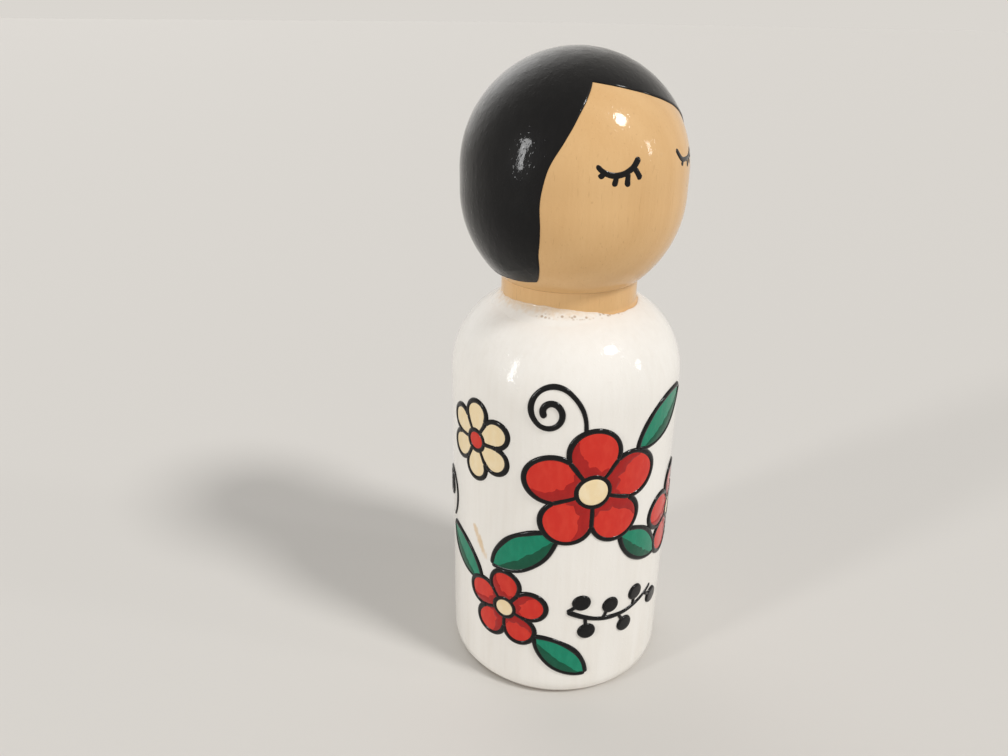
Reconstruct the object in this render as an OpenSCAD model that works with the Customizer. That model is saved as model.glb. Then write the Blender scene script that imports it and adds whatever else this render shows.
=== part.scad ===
// A painted wooden peg doll.
// A turned body and a turned head are pinned together at the neck by a fluted dowel.
// The dress, the hair, the eyelashes and the flowers are thin coats of paint on the wood.
// The doll stands on the plane Z = 0 with its turning axis on Z, and faces -Y.

/* [Body] */
// Diameter of the turned body
body_d = 32.4; // [30:0.1:36]
// Rounding of the edge round the base
base_round = 2; // [1:0.1:3]
// Height of the straight body, up to where the shoulder curves in
shoulder_z = 47.3; // [44:0.1:54]
// Radius of the shoulder's curve
shoulder_r = 11.5; // [9:0.1:14]
// Diameter of the neck
neck_d = 18.8; // [16:0.1:20]
// Height of the neck between the shoulder and the head
neck_h = 3; // [2:0.1:6]

/* [Head] */
// Diameter of the head
head_d = 29.8; // [28:0.1:34]
// Height of the straight stretch round the middle of the head
head_waist = 2.7; // [1:0.1:5]

/* [Neck joint] */
// Diameter of the dowel pin
pin_d = 8; // [6:0.5:10]
// Length of the dowel pin
pin_len = 30; // [20:1:36]
// Slack between the pin and its holes, on the diameter
pin_slack = 0.1; // [0.05:0.05:0.3]
// Room for glue past each end of the pin
pin_end_gap = 1; // [0.5:0.5:3]
// Chamfer round each end of the pin
pin_chamfer = 0.8; // [0.4:0.1:1.2]
// Number of glue flutes along the pin
pin_flutes = 12; // [6:1:16]
// Radius of a glue flute
pin_flute_r = 0.5; // [0.3:0.1:0.7]

/* [Paint] */
// Thickness of one coat of paint
coat = 0.15; // [0.05:0.05:0.3]
// Width of the painted outlines
line_w = 0.8; // [0.5:0.1:1]
// Bare wood left on the shoulder round the neck
collar_gap = 0.5; // [0.2:0.1:2]
// Bare wood left under the hem of the dress
hem_gap = 0.3; // [0.1:0.1:1]

/* [Hair and eyes] */
// How far the side locks come forward of the axis
lock_y = 7.7; // [4:0.1:10]
// Height above the middle of the head where the side locks come furthest forward
lock_h = 4.2; // [0:0.1:7]
// Radius of the curved front edge of a side lock
lock_r = 36.5; // [30:0.5:50]
// Height of the parting above the middle of the head
parting_h = 12.6; // [10:0.1:13]
// Distance of the parting from the middle of the face
parting_x = 5.7; // [0:0.1:7]
// Slope of the short side of the parting, in degrees
short_side_slope = 53; // [45:1:65]
// Slope of the long side of the parting, in degrees
long_side_slope = 15; // [8:1:25]
// Bare wood between the hair's lower edge and the neck
nape_gap = 1; // [0.5:0.1:3]
// Turn of the right eye from the middle of the face, in degrees
right_eye_turn = 24.6; // [18:0.1:30]
// Turn of the left eye from the middle of the face, in degrees
left_eye_turn = 21.5; // [18:0.1:30]
// Height of the lowest point of the right eye's lid above the middle of the head
right_eye_h = 2.8; // [0:0.1:5]
// Height of the lowest point of the left eye's lid above the middle of the head
left_eye_h = 3.2; // [0:0.1:5]
// Radius of the closed lid's curve
lid_r = 3.4; // [3:0.1:4.5]
// Length of an eyelash
lash_len = 1.3; // [0.8:0.1:2]
// Width of the lid and lash strokes
lash_w = 0.7; // [0.4:0.1:0.9]

/* [Painted flowers] */
// Width of the largest blossom
blossom_d = 19; // [15:0.5:21]
// Length of the largest leaf
leaf_len = 13; // [9:0.5:14]
// Width of the largest leaf
leaf_w = 6; // [4.5:0.1:7]
// Radius of the berry sprig's stem
sprig_r = 14; // [11:0.5:16]
// Radius of a berry
berry_r = 1.3; // [0.8:0.1:1.6]
// Outer radius of the largest tendril curl
curl_r = 3; // [2.4:0.1:3.6]

/* [Hidden] */
$fn = 96;

wood = "#e0b47c";
pin_wood = "#d9b98a";
white_paint = "#ece6da";
black_paint = "#171415";
red_paint = "#cf2f22";
dark_red_paint = "#8f1712";
cream_paint = "#efd9ae";
green_paint = "#0f7d5e";
dark_green_paint = "#0c4a35";

body_r = body_d / 2;
neck_r = neck_d / 2;
head_r = head_d / 2;
// Reach of every cut past the solid that it cuts
overrun = body_r;

// Heights that follow from the pieces that stand on each other
shoulder_drop = shoulder_r - (body_r - neck_r);
neck_z = shoulder_z + sqrt(pow(shoulder_r, 2) - pow(shoulder_drop, 2));
seat_z = neck_z + neck_h;
head_low_z = seat_z + sqrt(pow(head_r, 2) - pow(neck_r, 2));
head_z = head_low_z + head_waist / 2;
head_high_z = head_low_z + head_waist;
pin_hole_d = pin_d + pin_slack;
pin_hole_depth = pin_len / 2 + pin_end_gap;

// Flowers: turn about the doll in degrees, height on the straight body, size and count of petals
flower_turns = [-30, -72, 31, -91];
flower_height_shares = [0.75, 0.31, 0.57, 0.85];
flower_size_shares = [1, 0.7, 0.8, 0.66];
flower_petals = [5, 5, 5, 6];
red_flowers = [0, 1, 2];
cream_flowers = [3];
petal_fullness_share = 1.15;
core_share = 0.24;
petal_shade_share = 0.3;

// Leaves: turn about the doll, height on the straight body, lean from level, and size
leaf_turns = [-63, 9, -1, -101, -42];
leaf_height_shares = [0.53, 0.93, 0.53, 0.43, 0.16];
leaf_leans = [38, 35, -40, -35, -40];
leaf_size_shares = [1, 0.95, 0.85, 0.85, 0.85];
leaf_shade_share = 0.22;

// Berry sprig: its place, and the berries along its stem
sprig_turn = -13;
sprig_height_share = 0.29;
sprig_span = 62;
berry_turns = [-27, -16, -5, 6, 17, 28];
berry_stand_share = 1.7;
berry_stalk_share = 0.7;

// Tendril curls: turn about the doll, height on the straight body, lean and size
curl_turns = [-50, -121, 56];
curl_height_shares = [1.005, 0.61, 0.733];
curl_leans = [48, 16, -30];
curl_size_shares = [1, 0.85, 0.8];
// Each half turn of a curl against the one before
curl_shrink_share = 0.62;
// Radius of the bend of a curl's stalk against the curl's own, and how far the stalk bends
curl_stalk_share = 2.2;
curl_stalk_span = 60;

// Eyelashes: where each one leaves the lid, and its length
lash_turns = [-36, -9, 15, 38];
lash_len_shares = [0.7, 0.95, 1, 1];
lid_span = 104;
// The lid's outer end hangs lower than its inner end
lid_tilt = 8;

// Outline of the body, grown by the paint over it
module body_profile(grow) {
    translate([0, base_round])
        square([body_r + grow, shoulder_z - base_round]);
    translate([0, -grow])
        square([body_r - base_round, shoulder_z + grow]);
    intersection() {
        translate([body_r - base_round, base_round])
            circle(r = base_round + grow);
        translate([0, -grow])
            square([body_d, base_round + grow]);
    }
    intersection() {
        translate([body_r - shoulder_r, shoulder_z])
            circle(r = shoulder_r + grow);
        translate([0, shoulder_z])
            square([body_d, shoulder_r + grow]);
    }
    square([neck_r + grow, seat_z]);
}

// Outline of the head, grown by the paint over it, above its flat seat
module head_profile(grow) {
    intersection() {
        union() {
            translate([0, head_low_z])
                circle(r = head_r + grow);
            translate([0, head_high_z])
                circle(r = head_r + grow);
            translate([0, head_low_z])
                square([head_r + grow, head_waist]);
        }
        translate([0, seat_z])
            square([head_d, head_d + head_waist]);
    }
}

// Coats of paint over the body's wood, between two depths
module body_film(under, over) {
    rotate_extrude()
        intersection() {
            difference() {
                body_profile(over);
                body_profile(under);
            }
            translate([neck_r + collar_gap, hem_gap])
                square([body_d, neck_z]);
        }
}

// Coats of paint over the head's wood, between two depths
module head_film(under, over) {
    rotate_extrude()
        intersection() {
            difference() {
                head_profile(over);
                head_profile(under);
            }
            translate([0, seat_z + nape_gap])
                square([head_d, head_d + head_waist]);
        }
}

// A flat figure carried out from the axis, turned about the doll and raised to a height
module carried(turn, height) {
    rotate([0, 0, turn])
        translate([0, 0, height])
            rotate([90, 0, 0])
                linear_extrude(height = body_d)
                    children();
}

// A stroke along an arc, centred below the arc's centre
module arc_stroke(r, w, span) {
    reach = 2 * r;
    intersection() {
        difference() {
            circle(r = r + w / 2);
            circle(r = r - w / 2);
        }
        polygon([
            [0, 0],
            [-reach * sin(span / 2), -reach * cos(span / 2)],
            [reach * sin(span / 2), -reach * cos(span / 2)]
        ]);
    }
}

// A pointed oval, grown all round
module pointed_oval(len, wid, grow) {
    r = (pow(len, 2) + pow(wid, 2)) / (4 * wid);
    intersection() {
        translate([0, r - wid / 2])
            circle(r = r + grow);
        translate([0, wid / 2 - r])
            circle(r = r + grow);
    }
}

function flower_d(k) = blossom_d * flower_size_shares[k];
function flower_z(k) = shoulder_z * flower_height_shares[k];
function petal_spread(k) = petal_fullness_share * sin(180 / flower_petals[k]);
function petal_r(k) = flower_d(k) / 2 * petal_spread(k) / (1 + petal_spread(k));
function core_r(k) = flower_d(k) / 2 * core_share + line_w / 2;

// The round petals of one flower
module petal_discs(k, grow) {
    for (n = [0 : flower_petals[k] - 1])
        rotate(n * 360 / flower_petals[k])
            translate([0, flower_d(k) / 2 - petal_r(k)])
                circle(r = petal_r(k) + grow);
}

// The painted face of each petal, inside its outline
module petal_faces(k) {
    difference() {
        petal_discs(k, -line_w);
        circle(r = core_r(k));
    }
}

// A crescent of shade on the inner side of each petal
module petal_crescents(k) {
    shift = petal_r(k) * petal_shade_share;
    difference() {
        petal_faces(k);
        for (n = [0 : flower_petals[k] - 1])
            rotate(n * 360 / flower_petals[k])
                translate([shift, flower_d(k) / 2 - petal_r(k) + shift])
                    circle(r = petal_r(k) - line_w);
    }
}

// Everything that one flower covers
module flower_ground(k) {
    petal_discs(k, 0);
    circle(r = core_r(k));
}

// The black lines of one flower
module flower_lines(k) {
    difference() {
        flower_ground(k);
        petal_faces(k);
        circle(r = core_r(k) - line_w);
    }
}

// Room that all the flowers take up on the dress
module flowers_room() {
    for (k = [0 : len(flower_turns) - 1])
        carried(flower_turns[k], flower_z(k))
            flower_ground(k);
}

// One leaf's figure, turned to its lean
module leaf_figure(k, grow) {
    rotate(leaf_leans[k])
        pointed_oval(leaf_len * leaf_size_shares[k], leaf_w * leaf_size_shares[k], grow);
}

// A leaf's place on the dress
module leaf_place(k) {
    carried(leaf_turns[k], shoulder_z * leaf_height_shares[k])
        children();
}

// Room that all the leaves take up on the dress
module leaves_room() {
    for (k = [0 : len(leaf_turns) - 1])
        leaf_place(k)
            leaf_figure(k, 0);
}

// One berry on its stalk, which rises from the origin
module berry() {
    stand = berry_r * berry_stand_share;
    stalk_w = line_w * berry_stalk_share;
    translate([-stalk_w / 2, 0])
        square([stalk_w, stand]);
    translate([0, stand])
        circle(r = berry_r);
}

// The stem with its berries, carried out to the dress
module sprig_room() {
    carried(sprig_turn, shoulder_z * sprig_height_share)
        translate([0, sprig_r]) {
            arc_stroke(sprig_r, line_w, sprig_span);
            for (k = [0 : len(berry_turns) - 1])
                rotate(berry_turns[k])
                    translate([0, -sprig_r])
                        mirror([0, k % 2])
                            berry();
        }
}

// Half a ring, for one half turn of a curl
module half_ring(r, w) {
    intersection() {
        difference() {
            circle(r = r + w / 2);
            circle(r = r - w / 2);
        }
        translate([-2 * r, 0])
            square([4 * r, 2 * r]);
    }
}

// A stretch of a ring, from its right-hand end downwards
module ring_sector(r, w, span) {
    reach = 2 * r;
    intersection() {
        difference() {
            circle(r = r + w / 2);
            circle(r = r - w / 2);
        }
        polygon([[0, 0], [reach, 0], [reach * cos(span), -reach * sin(span)]]);
    }
}

// A tendril on a bent stalk, which curls in through three half turns, each smaller than the last
module curl_figure(r) {
    r2 = r * curl_shrink_share;
    r3 = r2 * curl_shrink_share;
    stalk_r = r * curl_stalk_share;
    translate([r - stalk_r, 0])
        ring_sector(stalk_r, line_w, curl_stalk_span);
    half_ring(r, line_w);
    translate([r2 - r, 0])
        mirror([0, 1])
            half_ring(r2, line_w);
    translate([2 * r2 - r - r3, 0])
        half_ring(r3, line_w);
}

// The closed lid with its lashes, for the eye on the doll's right
module lash_figure() {
    rotate(lid_tilt)
        translate([0, lid_r]) {
            arc_stroke(lid_r, lash_w, lid_span);
            for (k = [0 : len(lash_turns) - 1])
                rotate(lash_turns[k])
                    translate([-lash_w / 2, -lid_r - lash_len * lash_len_shares[k]])
                        square([lash_w, lash_len * lash_len_shares[k]]);
        }
}

// The bare face: everything in front, under the two slopes of the parting and ahead of the side locks
module face_cut() {
    reach = 2 * head_d;
    difference() {
        carried(0, head_z)
            translate([-parting_x, parting_h])
                polygon([
                    [0, 0],
                    [-reach * cos(short_side_slope), -reach * sin(short_side_slope)],
                    [reach * cos(long_side_slope), -reach * sin(long_side_slope) - reach],
                    [reach * cos(long_side_slope), -reach * sin(long_side_slope)]
                ]);
        translate([0, lock_r - lock_y, head_z + lock_h])
            rotate([0, 90, 0])
                cylinder(r = lock_r, h = 2 * reach, center = true);
    }
}

// The hole for the dowel pin, reaching both ways from the seat
module pin_hole() {
    translate([0, 0, seat_z - pin_hole_depth])
        cylinder(d = pin_hole_d, h = 2 * pin_hole_depth);
}

// The turned body with its shoulder and neck, drilled for the pin
module body_peg() {
    color(wood)
        difference() {
            rotate_extrude()
                body_profile(0);
            pin_hole();
        }
}

// The turned head, flat where it sits on the neck, drilled for the pin
module head() {
    color(wood)
        difference() {
            rotate_extrude()
                head_profile(0);
            pin_hole();
        }
}

// The fluted pin that joins the head to the body
module neck_dowel() {
    color(pin_wood)
        translate([0, 0, seat_z - pin_len / 2])
            difference() {
                union() {
                    cylinder(d1 = pin_d - 2 * pin_chamfer, d2 = pin_d, h = pin_chamfer);
                    translate([0, 0, pin_chamfer])
                        cylinder(d = pin_d, h = pin_len - 2 * pin_chamfer);
                    translate([0, 0, pin_len - pin_chamfer])
                        cylinder(d1 = pin_d, d2 = pin_d - 2 * pin_chamfer, h = pin_chamfer);
                }
                for (n = [0 : pin_flutes - 1])
                    rotate([0, 0, n * 360 / pin_flutes])
                        translate([pin_d / 2, 0, -overrun])
                            cylinder(r = pin_flute_r, h = pin_len + 2 * overrun);
            }
}

// The white dress, from the hem to the shoulder
module dress_coat() {
    color(white_paint)
        body_film(0, coat);
}

// The black bob, over all of the head but the face
module hair_coat() {
    color(black_paint)
        difference() {
            head_film(0, coat);
            face_cut();
        }
}

// The closed eye on the doll's right
module right_eyelashes() {
    color(black_paint)
        intersection() {
            head_film(0, coat);
            carried(-right_eye_turn, head_z + right_eye_h)
                lash_figure();
        }
}

// The closed eye on the doll's left
module left_eyelashes() {
    color(black_paint)
        intersection() {
            head_film(0, coat);
            carried(left_eye_turn, head_z + left_eye_h)
                mirror([1, 0])
                    lash_figure();
        }
}

// Petals of the red blossoms, and the middle of the cream one
module red_petals() {
    color(red_paint)
        intersection() {
            body_film(coat, 2 * coat);
            union() {
                for (k = red_flowers)
                    carried(flower_turns[k], flower_z(k))
                        petal_faces(k);
                for (k = cream_flowers)
                    carried(flower_turns[k], flower_z(k))
                        circle(r = core_r(k) - line_w);
            }
        }
}

// Petals of the cream flower, and the middles of the red ones
module cream_petals() {
    color(cream_paint)
        intersection() {
            body_film(coat, 2 * coat);
            union() {
                for (k = cream_flowers)
                    carried(flower_turns[k], flower_z(k))
                        petal_faces(k);
                for (k = red_flowers)
                    carried(flower_turns[k], flower_z(k))
                        circle(r = core_r(k) - line_w);
            }
        }
}

// Darker strokes on the red petals
module petal_shading() {
    color(dark_red_paint)
        intersection() {
            body_film(2 * coat, 3 * coat);
            for (k = red_flowers)
                carried(flower_turns[k], flower_z(k))
                    petal_crescents(k);
        }
}

// Green faces of the leaves, tucked under the flowers
module green_leaves() {
    color(green_paint)
        intersection() {
            body_film(coat, 2 * coat);
            difference() {
                for (k = [0 : len(leaf_turns) - 1])
                    leaf_place(k)
                        leaf_figure(k, -line_w);
                flowers_room();
            }
        }
}

// Darker strokes along the lower edge of each leaf
module leaf_shading() {
    color(dark_green_paint)
        intersection() {
            body_film(2 * coat, 3 * coat);
            difference() {
                for (k = [0 : len(leaf_turns) - 1])
                    leaf_place(k)
                        difference() {
                            leaf_figure(k, -line_w);
                            rotate(leaf_leans[k])
                                translate([0, leaf_w * leaf_shade_share])
                                    rotate(-leaf_leans[k])
                                        leaf_figure(k, -line_w);
                        }
                flowers_room();
            }
        }
}

// Black lines round every petal and middle
module flower_outlines() {
    color(black_paint)
        intersection() {
            body_film(coat, 3 * coat);
            for (k = [0 : len(flower_turns) - 1])
                carried(flower_turns[k], flower_z(k))
                    flower_lines(k);
        }
}

// Black lines round the leaves
module leaf_outlines() {
    color(black_paint)
        intersection() {
            body_film(coat, 3 * coat);
            difference() {
                for (k = [0 : len(leaf_turns) - 1])
                    leaf_place(k)
                        difference() {
                            leaf_figure(k, 0);
                            leaf_figure(k, -line_w);
                        }
                flowers_room();
            }
        }
}

// A black stem with berries on both sides, clear of the flowers and leaves
module berry_sprig() {
    color(black_paint)
        intersection() {
            body_film(coat, 3 * coat);
            difference() {
                sprig_room();
                flowers_room();
                leaves_room();
            }
        }
}

// Thin black curls in the space that is left
module tendril_curls() {
    color(black_paint)
        intersection() {
            body_film(coat, 3 * coat);
            difference() {
                for (k = [0 : len(curl_turns) - 1])
                    carried(curl_turns[k], shoulder_z * curl_height_shares[k])
                        rotate(curl_leans[k])
                            curl_figure(curl_r * curl_size_shares[k]);
                flowers_room();
                leaves_room();
                sprig_room();
            }
        }
}

body_peg();
head();
neck_dowel();
dress_coat();
hair_coat();
right_eyelashes();
left_eyelashes();
red_petals();
cream_petals();
green_leaves();
petal_shading();
leaf_shading();
flower_outlines();
leaf_outlines();
berry_sprig();
tendril_curls();
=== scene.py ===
"""The looks of a painted wooden peg doll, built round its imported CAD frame.

Lengths are millimetres until a mesh, a lamp or the camera is made. The doll stands on Z = 0 and faces -Y.
A turn is an angle about Z in degrees: 0 is the middle of the face, and more is towards the doll's left.
"""
import random
from collections import namedtuple
from math import acos, atan2, copysign, cos, degrees, pi, prod, radians, sin, sqrt

import bmesh
import bpy
import numpy as np
from mathutils import Matrix, Vector
from numpy.linalg import norm


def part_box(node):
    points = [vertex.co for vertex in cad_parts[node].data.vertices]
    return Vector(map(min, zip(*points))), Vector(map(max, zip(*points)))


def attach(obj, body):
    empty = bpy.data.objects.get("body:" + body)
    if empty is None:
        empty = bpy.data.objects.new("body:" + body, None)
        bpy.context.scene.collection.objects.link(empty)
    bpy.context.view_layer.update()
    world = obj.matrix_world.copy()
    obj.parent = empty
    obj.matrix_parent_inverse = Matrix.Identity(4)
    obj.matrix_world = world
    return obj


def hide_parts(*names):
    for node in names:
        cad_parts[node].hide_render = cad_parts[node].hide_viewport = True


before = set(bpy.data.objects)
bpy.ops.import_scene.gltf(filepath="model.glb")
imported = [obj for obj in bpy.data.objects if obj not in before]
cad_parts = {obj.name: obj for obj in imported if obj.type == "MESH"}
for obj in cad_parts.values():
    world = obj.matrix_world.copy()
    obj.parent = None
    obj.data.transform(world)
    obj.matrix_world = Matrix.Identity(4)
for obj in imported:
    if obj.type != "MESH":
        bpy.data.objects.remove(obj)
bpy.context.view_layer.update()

MM = 0.001
UP = np.array([0.0, 0.0, 1.0])
rng = random.Random(11)


def node_box(node):
    """Lowest and highest corner of a CAD node."""
    low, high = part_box(node)
    return np.array(low) / MM, np.array(high) / MM


# Sizes that the frame gives
BODY_R, _, SEAT_Z = node_box("body_peg")[1]
HEAD_R, _, CROWN_Z = node_box("head")[1]
COAT = node_box("dress_coat")[1][0] - BODY_R
HEM_Z = node_box("dress_coat")[0][2]
NAPE_Z = node_box("hair_coat")[0][2]
PIN_R, _, PIN_TOP_Z = node_box("neck_dowel")[1]

# Sizes of the turned wood that no box gives
BASE_ROUND = 2
SHOULDER_R = 11.5
NECK_R = 9.4
NECK_H = 3
NECK_FILLET = 0.5
PIN_SLACK = 0.1
PIN_END_GAP = 1

# Heights and radii that follow
SHOULDER_MID_R = BODY_R - SHOULDER_R
NECK_Z = SEAT_Z - NECK_H
SHOULDER_Z = NECK_Z - sqrt(SHOULDER_R**2 - (NECK_R - SHOULDER_MID_R) ** 2)
HEAD_LOW_Z = SEAT_Z + sqrt(HEAD_R**2 - NECK_R**2)
HEAD_HIGH_Z = CROWN_Z - HEAD_R
HEAD_Z = (HEAD_LOW_Z + HEAD_HIGH_Z) / 2
PIN_HOLE_R = PIN_R + PIN_SLACK / 2
PIN_HOLE_DEPTH = PIN_TOP_Z - SEAT_Z + PIN_END_GAP

# Paint: how far a coat reaches under its ground, how its edges round off, at most over a share of its reach,
# how lines stand up, and how far short of the middle of its line a fill of colour stops
SINK = 0.05
EDGE_ROUND = 0.3
EDGE_SHARE = 0.7
EDGE_DEPTHS = (0, 0.02, 0.06, 0.12, 0.2, 0.3)
LINE_W = 0.8
LINE_RISE = 0.28
TUCK = 0.18
SHADE_RISE = 0.05

# Collar of the dress: how far the paint climbs past the shoulder onto the neck, at turns round the doll
COLLAR_TURNS = (-180, -125, -95, -65, -42, -22, -8, 25, 60, 120, 180)
COLLAR_CLIMBS = (0.3, 0.8, 0.9, 1.2, 0.85, 0.4, -0.2, -0.3, 0.1, 0.4, 0.3)
COLLAR_SHAKE = 0.08
HEM_SHAKE = 0.06

# Hairline seen from the front, as (x, z) from the parting down to the corner of each side lock
PARTING = (-5.7, 86.4)
LOCK = [(12.5, 77), (13, 72.8), (12.6, 68.5), (11.8, 65.7), (10.4, 62.7)]
HAIRLINE_RIGHT = [PARTING, (-8.5, 83.4), (-10.8, 80.3), *[(-x, z) for x, z in LOCK]]
HAIRLINE_LEFT = [PARTING, (1.1, 84.8), (6.4, 83.1), (9.9, 81), *LOCK]
HAIR_STEP = 0.26
HAIR_SHAKE = 0.04
NAPE_SHAKE = 0.16
NAPE_EASE = 4

# Closed eyes: turn of each, its height above the middle of the head, the width of its strokes, and the
# strokes as seen from there, with x running towards the middle of the face
LASH_RISE = 0.08
LASH_TAPER = (0.9, 1.05)
Eye = namedtuple("Eye", "turn height width lid lashes")
RIGHT_EYE = Eye(
    turn=-24.6, height=2.9, width=0.72,
    lid=[
        (-2.9, 1.2), (-2.4, 0.65), (-1.6, 0.2), (-0.65, 0.02),
        (0.36, 0.18), (1.1, 0.55), (1.65, 0.95), (2.35, 1.95),
    ],
    lashes=[
        [(-2.1, 0.5), (-2.5, -0.3)], [(-0.52, 0), (-0.83, -1.2)],
        [(0.88, 0.35), (0.86, -1.3)], [(1.7, 0.8), (2.6, -0.5)],
    ],
)
LEFT_EYE = Eye(
    turn=21.5, height=3.75, width=0.62,
    lid=[
        (-2.85, 1.05), (-2.1, 0.45), (-1.1, 0.08), (-0.1, 0),
        (1, 0.06), (1.6, 0.35), (2.07, 0.77), (2.67, 1.45),
    ],
    lashes=[
        [(-2.3, 0.6), (-2.65, -0.1)], [(-1.5, 0.2), (-1.8, -0.75)],
        [(-0.6, 0), (-0.85, -1)], [(1.05, 0.1), (1.4, -0.65)],
    ],
)

# Flowers and leaves: turn, level as a share of the shoulder's height, size, and what sets each apart
BLOSSOM_D = 19
PETAL_FULLNESS = 1.15
CORE_SHARE = 0.24
CORE_RISE = 1.3 * COAT
PETAL_SHADE_SHARE = 0.3
PETAL_LINE_TAPER = (1, 0.9)
Flower = namedtuple("Flower", "turn level width petals red")
FLOWERS = [
    Flower(-30, 0.75, BLOSSOM_D, 5, True),
    Flower(-72, 0.31, 0.7 * BLOSSOM_D, 5, True),
    Flower(31, 0.57, 0.8 * BLOSSOM_D, 5, True),
    Flower(-91, 0.85, 0.66 * BLOSSOM_D, 6, False),
]
LEAF_LEN = 13
LEAF_W = 6
LEAF_SHADE_SHARE = 0.3
Frond = namedtuple("Frond", "turn level lean size")
LEAVES = [
    Frond(-63, 0.53, 38, 1),
    Frond(9, 0.93, 35, 0.95),
    Frond(-1, 0.53, -40, 0.85),
    Frond(-101, 0.43, -35, 0.85),
    Frond(-42, 0.16, -40, 0.85),
]

# Berry sprig and tendril curls
SPRIG_TURN = -13
SPRIG_Z = 0.29 * SHOULDER_Z
SPRIG_R = 14
SPRIG_SPAN = 62
BERRY_R = 1.3
BERRY_RISE = 2 * COAT
BERRY_STAND = 1.7 * BERRY_R
BERRY_TURNS = (-27, -16, -5, 6, 17, 28)
BERRY_STALK_W = 0.7 * LINE_W
BERRY_STALK_LEAN = 4
SPRIG_TAPER = (1.1, 0.7)
CURL_R = 3
CURL_SHRINK = 0.62
CURL_STALK_SHARE = 2.2
CURL_STALK_SPAN = 60
CURL_TAPER = (0.75, 1.15)
CURLS = [
    Frond(-50, 1.005, 48, 1),
    Frond(-121, 0.61, 16, 0.85),
    Frond(56, 0.733, -30, 0.8),
]


# Turned surfaces

ARC_STEPS = 40
LINE_STEPS = 40


def arc(centre, radius, start, end, hollow=False):
    """Points and outward normals along an arc of a turned outline, between two angles."""
    angles = np.radians(np.linspace(start, end, ARC_STEPS))
    out = np.stack([np.cos(angles), np.sin(angles)], 1)
    return np.array(centre) + radius * out, -out if hollow else out


def line(start, end):
    """Points and outward normals along a straight stretch of a turned outline."""
    points = np.linspace(start, end, LINE_STEPS)
    way = np.subtract(end, start) / norm(np.subtract(end, start))
    return points, np.tile([way[1], -way[0]], (LINE_STEPS, 1))


def lengths_of(path):
    """Length of a path up to each of its points."""
    return np.concatenate([[0], np.cumsum(norm(np.diff(path, axis=0), axis=1))])


class Turning:
    """A turned outline from the bottom up: its points (radius, height) and its outward normals."""

    def __init__(self, *stretches):
        self.points = np.concatenate([points for points, _ in stretches])
        self.normals = np.concatenate([normals for _, normals in stretches])
        self.lengths = lengths_of(self.points)

    def at(self, length):
        """Radius, height and normal at a length along the outline."""
        return [np.interp(length, self.lengths, c) for c in (*self.points.T, *self.normals.T)]

    def length_at(self, z):
        """Length along the outline at a height."""
        return np.interp(z, self.points[:, 1], self.lengths)

    def ring(self, z):
        """Radius and normal at a height."""
        return [np.interp(z, self.points[:, 1], c) for c in (self.points[:, 0], *self.normals.T)]


shoulder_end = degrees(acos((NECK_R + NECK_FILLET - SHOULDER_MID_R) / (SHOULDER_R + NECK_FILLET)))
fillet_z = SHOULDER_Z + (SHOULDER_R + NECK_FILLET) * sin(radians(shoulder_end))
body = Turning(
    arc((BODY_R - BASE_ROUND, BASE_ROUND), BASE_ROUND, -90, 0),
    line((BODY_R, BASE_ROUND), (BODY_R, SHOULDER_Z)),
    arc((SHOULDER_MID_R, SHOULDER_Z), SHOULDER_R, 0, shoulder_end),
    arc((NECK_R + NECK_FILLET, fillet_z), NECK_FILLET, 180 + shoulder_end, 180, hollow=True),
    line((NECK_R, fillet_z), (NECK_R, SEAT_Z)),
)
jaw_start = -degrees(acos(NECK_R / HEAD_R))
head = Turning(
    arc((0, HEAD_LOW_Z), HEAD_R, jaw_start, 0),
    line((HEAD_R, HEAD_LOW_Z), (HEAD_R, HEAD_HIGH_Z)),
    arc((0, HEAD_HIGH_Z), HEAD_R, 0, 90),
)


def compass(turn):
    """The ways across and ahead, for someone who faces out from the doll's axis at a turn."""
    angle = np.radians(turn)
    still = np.zeros_like(angle)
    across = np.stack([np.cos(angle), np.sin(angle), still], -1)
    ahead = np.stack([np.sin(angle), -np.cos(angle), still], -1)
    return across, ahead


def carried(turning, turn, height):
    """A function that carries a flat figure out onto a turning, as points and normals."""
    across, ahead = compass(turn)

    def spot(figure):
        x = figure[..., 0, None]
        z = height + figure[..., 1, None]
        radius, out, up = turning.ring(z)
        level = x * across + np.sqrt(np.maximum(radius**2 - x**2, 0)) * ahead
        return level + z * UP, level / radius * out + up * UP

    return spot


def on_dress(place):
    """The same for a place on the dress."""
    return carried(body, place.turn, place.level * SHOULDER_Z)


# Meshes

SHARP_ANGLE = 40


def placed(name, data):
    """A new object in the scene."""
    thing = bpy.data.objects.new(name, data)
    bpy.context.scene.collection.objects.link(thing)
    return thing


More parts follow.
